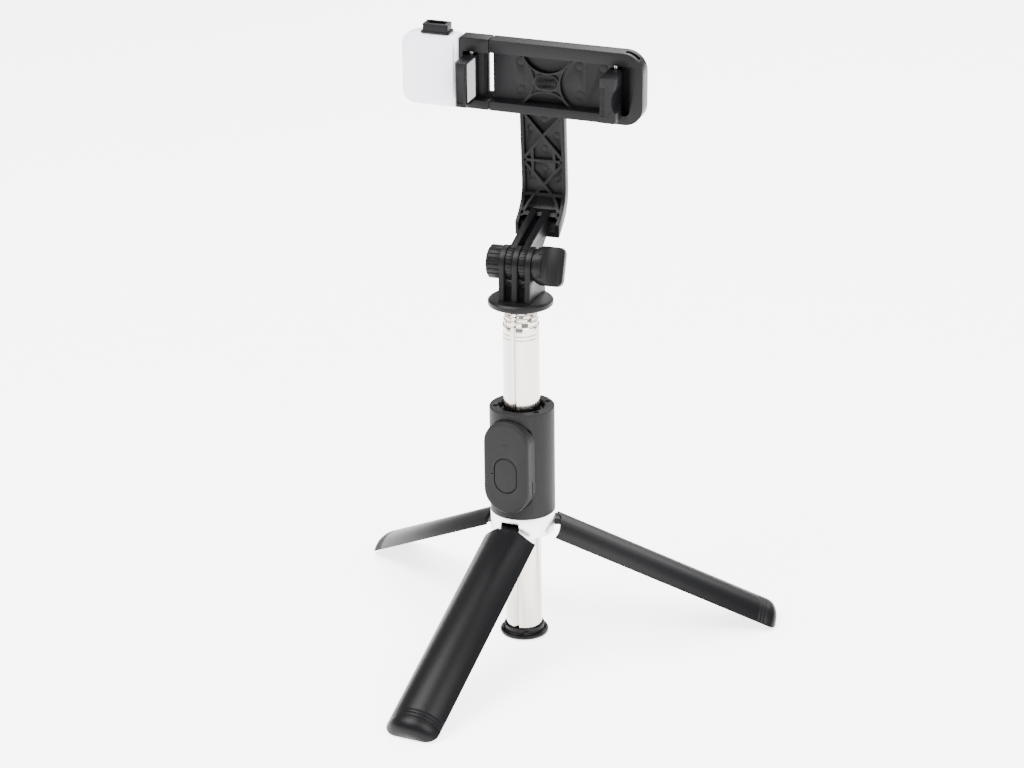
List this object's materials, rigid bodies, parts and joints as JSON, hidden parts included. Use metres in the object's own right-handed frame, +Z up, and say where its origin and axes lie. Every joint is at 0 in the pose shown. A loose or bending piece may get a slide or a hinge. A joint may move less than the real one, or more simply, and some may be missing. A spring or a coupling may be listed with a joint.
{
  "type": "selfie stick",
  "caption": "Tripod selfie stick: telescopic mast, folding legs, hinged arm, swivelling sprung phone clamp with a fill light, and a pull-off remote in the handle.",
  "frame": {"origin": "centre of the bottom cap's underside, on the mast's axis, at floor level with the legs open", "axes": "+Z up along the mast; +X along the arm's hinge, to the right of someone who faces the clamp; -Y towards the phone's user"},
  "size_m": [0.2054, 0.1906, 0.2752],
  "materials": {
    "grip_plastic": "fine matt grain",
    "black_plastic": "satin moulded",
    "dark_plastic": "satin moulded",
    "rubber_pad": "matt",
    "tube_steel": "polished, lightly brushed along its length",
    "pin_steel": "turned",
    "ring_metal": "satin",
    "diffuser_white": "satin, translucent",
    "board_green": "lacquered",
    "cell_silver": "satin"
  },
  "bodies": {
    "handle": {"handle_shell": "grip_plastic", "guide_sleeve": "black_plastic", "hub_core": "dark_plastic", "hub_ring": "ring_metal", "handle_screw_1": "pin_steel", "handle_screw_2": "pin_steel", "handle_screw_3": "pin_steel", "handle_screw_4": "pin_steel", "front_leg_pin": "pin_steel", "right_leg_pin": "pin_steel", "left_leg_pin": "pin_steel"},
    "front_leg": {"front_leg": "black_plastic", "front_foot_pad": "rubber_pad"},
    "right_leg": {"right_leg": "black_plastic", "right_foot_pad": "rubber_pad"},
    "left_leg": {"left_leg": "black_plastic", "left_foot_pad": "rubber_pad"},
    "remote": {"remote_case": "grip_plastic", "remote_back": "black_plastic", "remote_board": "board_green", "coin_cell": "cell_silver"},
    "button": {"shutter_button": "grip_plastic"},
    "mast_1": {"mast_tube_1": "tube_steel", "bottom_cap": "black_plastic"},
    "mast_2": {"mast_tube_2": "tube_steel"},
    "mast_3": {"mast_tube_3": "tube_steel"},
    "mast_4": {"mast_tube_4": "tube_steel"},
    "mast_5": {"mast_tube_5": "tube_steel"},
    "mast_6": {"mast_tube_6": "tube_steel"},
    "mast_7": {"mast_tube_7": "tube_steel", "head_fork": "dark_plastic", "hinge_nut": "dark_plastic"},
    "knob": {"thumb_knob": "dark_plastic", "hinge_bolt": "pin_steel"},
    "arm": {"arm": "black_plastic", "swivel_rivet": "pin_steel"},
    "clamp": {"clamp_frame": "black_plastic", "clamp_back_cover": "black_plastic", "right_jaw_pin": "pin_steel"},
    "right_jaw": {"right_jaw": "black_plastic", "right_jaw_pad": "rubber_pad"},
    "slider": {"slide_block": "black_plastic", "slide_rail_top": "tube_steel", "slide_rail_bottom": "tube_steel", "left_jaw_pin": "pin_steel", "light_diffuser": "diffuser_white", "light_case": "diffuser_white", "light_board": "board_green", "light_cell": "cell_silver", "light_socket_collar": "black_plastic"},
    "left_jaw": {"left_jaw": "black_plastic", "left_jaw_pad": "rubber_pad"}
  },
  "joints": [
    {"name": "front_leg_fold", "type": "hinge", "parent": "handle", "child": "front_leg", "pos_m": [-0.00107, -0.01014, 0.0555], "axis": [0.9945, -0.1045, 0], "range_deg": [0, 63.38]},
    {"name": "right_leg_fold", "type": "hinge", "parent": "handle", "child": "right_leg", "pos_m": [0.00932, 0.00415, 0.0555], "axis": [-0.4067, 0.9135, 0], "range_deg": [0, 63.38]},
    {"name": "left_leg_fold", "type": "hinge", "parent": "handle", "child": "left_leg", "pos_m": [-0.00825, 0.006, 0.0555], "axis": [-0.5878, -0.809, 0], "range_deg": [0, 63.38]},
    {"name": "mast_slide", "type": "slide", "parent": "handle", "child": "mast_1", "axis": [0, 0, 1], "range_m": [-0.0462, 0.0455]},
    {"name": "section_2_slide", "type": "slide", "parent": "mast_1", "child": "mast_2", "axis": [0, 0, 1], "range_m": [0, 0.12]},
    {"name": "section_3_slide", "type": "slide", "parent": "mast_2", "child": "mast_3", "axis": [0, 0, 1], "range_m": [0, 0.12]},
    {"name": "section_4_slide", "type": "slide", "parent": "mast_3", "child": "mast_4", "axis": [0, 0, 1], "range_m": [0, 0.12]},
    {"name": "section_5_slide", "type": "slide", "parent": "mast_4", "child": "mast_5", "axis": [0, 0, 1], "range_m": [0, 0.12]},
    {"name": "section_6_slide", "type": "slide", "parent": "mast_5", "child": "mast_6", "axis": [0, 0, 1], "range_m": [0, 0.12]},
    {"name": "section_7_slide", "type": "slide", "parent": "mast_6", "child": "mast_7", "axis": [0, 0, 1], "range_m": [0, 0.12]},
    {"name": "arm_hinge", "type": "hinge", "parent": "mast_7", "child": "arm", "pos_m": [0, 0, 0.1762], "axis": [1, 0, 0], "range_deg": [-34, 100]},
    {"name": "knob_turn", "type": "hinge", "parent": "mast_7", "child": "knob", "pos_m": [0, 0, 0.1762], "axis": [1, 0, 0], "continuous": true},
    {"name": "clamp_swivel", "type": "hinge", "parent": "arm", "child": "clamp", "pos_m": [0, 0.02535, 0.25309], "axis": [0, 0.9981, 0.061], "range_deg": [-55, 88]},
    {"name": "clamp_slide", "type": "slide", "parent": "clamp", "child": "slider", "axis": [-0.9996, -0.0017, 0.0286], "range_m": [0, 0.025], "stiffness_N_per_m": 160, "springref_m": -0.01},
    {"name": "right_jaw_fold", "type": "hinge", "parent": "clamp", "child": "right_jaw", "pos_m": [0.03599, 0.02332, 0.25194], "axis": [-0.0286, 0.061, -0.9977], "range_deg": [0, 90]},
    {"name": "left_jaw_fold", "type": "hinge", "parent": "slider", "child": "left_jaw", "pos_m": [-0.02959, 0.0232, 0.25381], "axis": [0.0286, -0.061, 0.9977], "range_deg": [0, 90]},
    {"name": "remote_pull", "type": "slide", "parent": "handle", "child": "remote", "axis": [-0.1045, -0.9945, 0], "range_m": [0, 0.03]},
    {"name": "button_press", "type": "slide", "parent": "remote", "child": "button", "axis": [0.1045, 0.9945, 0], "range_m": [0, 0.0005], "stiffness_N_per_m": 1500, "springref_m": -0.0002}
  ]
}
